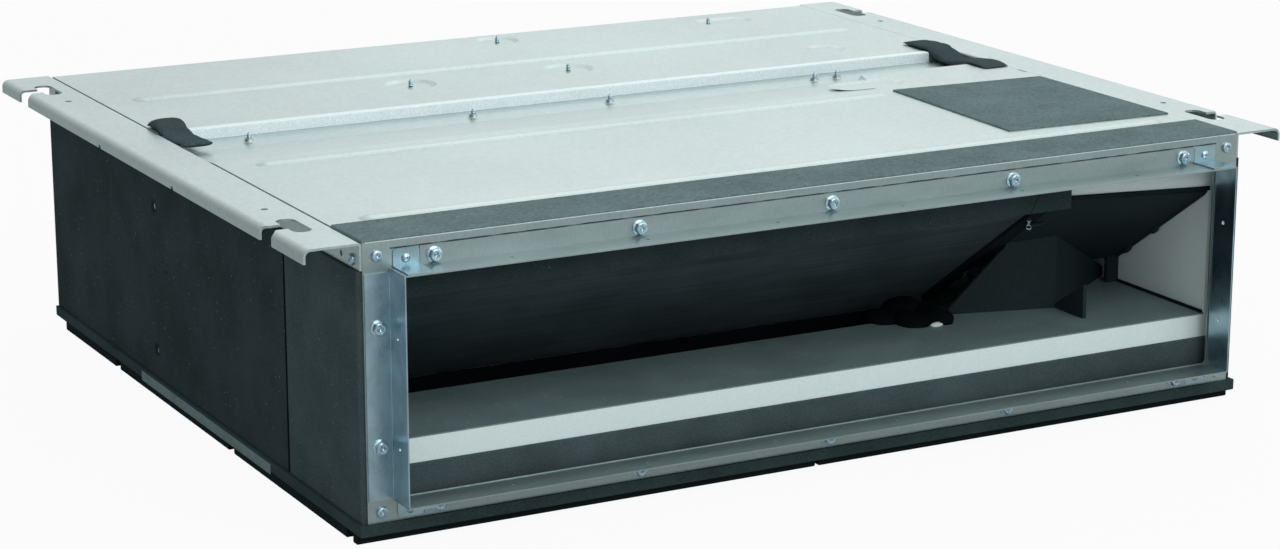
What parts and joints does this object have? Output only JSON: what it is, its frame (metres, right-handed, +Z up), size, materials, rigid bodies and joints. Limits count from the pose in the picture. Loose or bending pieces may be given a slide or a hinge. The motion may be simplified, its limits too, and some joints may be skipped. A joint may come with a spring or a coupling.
{
  "type": "ducted air conditioner",
  "caption": "Slim ceiling-concealed fan coil with a rectangular duct collar, slotted hanger rails, a leaning coil over a foam drain pan, twin fans, a filter and a drain pump.",
  "frame": {"origin": "middle of the footprint of the whole unit, on the underside of the lowest foam layer", "axes": "+X runs across the hanger rails to the side with the pipes, +Y runs from the air outlet to the suction side, +Z is up"},
  "size_m": [0.78, 0.6496, 0.2121],
  "materials": {
    "galvanised_sheet": "fine-grained galvanised steel, satin",
    "passivated_zinc": "bluish passivated zinc, glossy",
    "fastener_zinc": "bright bluish zinc plating",
    "dark_foam": "matt closed-cell foam with light specks",
    "base_foam": "matt closed-cell foam",
    "grey_felt": "matt fibrous foam sheet",
    "black_foam": "soft matt foam",
    "white_foam": "moulded bead foam",
    "pan_film": "smooth film, slightly glossy",
    "coated_fins": "dark coated fins with fine vertical lines",
    "copper": "drawn copper tube",
    "brass": "machined brass",
    "black_plastic": "matt moulded plastic",
    "rotor_plastic": "matt moulded plastic",
    "shaft_steel": "ground steel",
    "motor_can": "pressed steel can",
    "mount_rubber": "rubber ring",
    "pump_plastic": "moulded plastic",
    "clear_hose": "flexible hose",
    "circuit_board": "green board with moulded parts",
    "filter_mesh": "fine woven mesh"
  },
  "bodies": {
    "casing": {"base_insulation": "base_foam", "base_pads": "base_foam", "base_plate_front": "galvanised_sheet", "base_plate_rear": "galvanised_sheet", "coil_end_cover": "black_plastic", "coil_end_plate_left": "galvanised_sheet", "coil_end_plate_right": "galvanised_sheet", "coil_fins": "coated_fins", "coil_tubes": "copper", "collar_lugs": "passivated_zinc", "control_board": "circuit_board", "control_box": "galvanised_sheet", "control_box_cover": "galvanised_sheet", "cover_edge_strip": "black_foam", "drain_hose": "clear_hose", "drain_pan": "white_foam", "drain_pan_film": "pan_film", "drain_pump": "pump_plastic", "drain_socket": "pump_plastic", "duct_collar_bottom": "galvanised_sheet", "duct_collar_left": "passivated_zinc", "duct_collar_right": "passivated_zinc", "duct_collar_top": "galvanised_sheet", "fan_housing_left": "black_plastic", "fan_housing_right": "black_plastic", "fan_motor": "motor_can", "flare_nuts": "brass", "float_switch_stem": "pump_plastic", "gas_pipe": "copper", "hanger_rail_left": "galvanised_sheet", "hanger_rail_right": "galvanised_sheet", "hex_screws": "fastener_zinc", "joint_foam_left": "black_foam", "joint_foam_right": "black_foam", "liquid_pipe": "copper", "lug_rivets": "fastener_zinc", "motor_bracket": "galvanised_sheet", "motor_mounts": "mount_rubber", "outlet_frame": "galvanised_sheet", "outlet_lining": "white_foam", "partition_plate": "galvanised_sheet", "rear_suction_frame": "galvanised_sheet", "side_insulation_left_front": "dark_foam", "side_insulation_left_rear": "dark_foam", "side_insulation_right": "dark_foam", "side_panel_left": "galvanised_sheet", "side_panel_right": "galvanised_sheet", "sill_insulation": "black_foam", "tapping_screws": "fastener_zinc", "top_foam_pad": "grey_felt", "top_foam_strip": "grey_felt", "top_plate_front": "galvanised_sheet", "top_plate_rear": "galvanised_sheet"},
    "fan": {"fan_shaft": "shaft_steel", "fan_rotor_left": "rotor_plastic", "fan_rotor_right": "rotor_plastic"},
    "pump_wheel": {"drain_pump_impeller": "pump_plastic"},
    "float": {"float_switch_float": "pump_plastic"},
    "filter": {"air_filter_frame": "black_plastic", "air_filter_mesh": "filter_mesh"}
  },
  "joints": [
    {"name": "fan_spin", "type": "hinge", "parent": "casing", "child": "fan", "pos_m": [-0.04, 0.15575, 0.099], "axis": [1, 0, 0], "continuous": true},
    {"name": "pump_spin", "type": "hinge", "parent": "casing", "child": "pump_wheel", "pos_m": [0.282, -0.01425, 0.055], "axis": [0, 0, 1], "continuous": true},
    {"name": "float_slide", "type": "slide", "parent": "casing", "child": "float", "axis": [0, 0, 1], "range_m": [0, 0.014]},
    {"name": "filter_slide", "type": "slide", "parent": "casing", "child": "filter", "axis": [0, 1, 0], "range_m": [0, 0.06]}
  ]
}
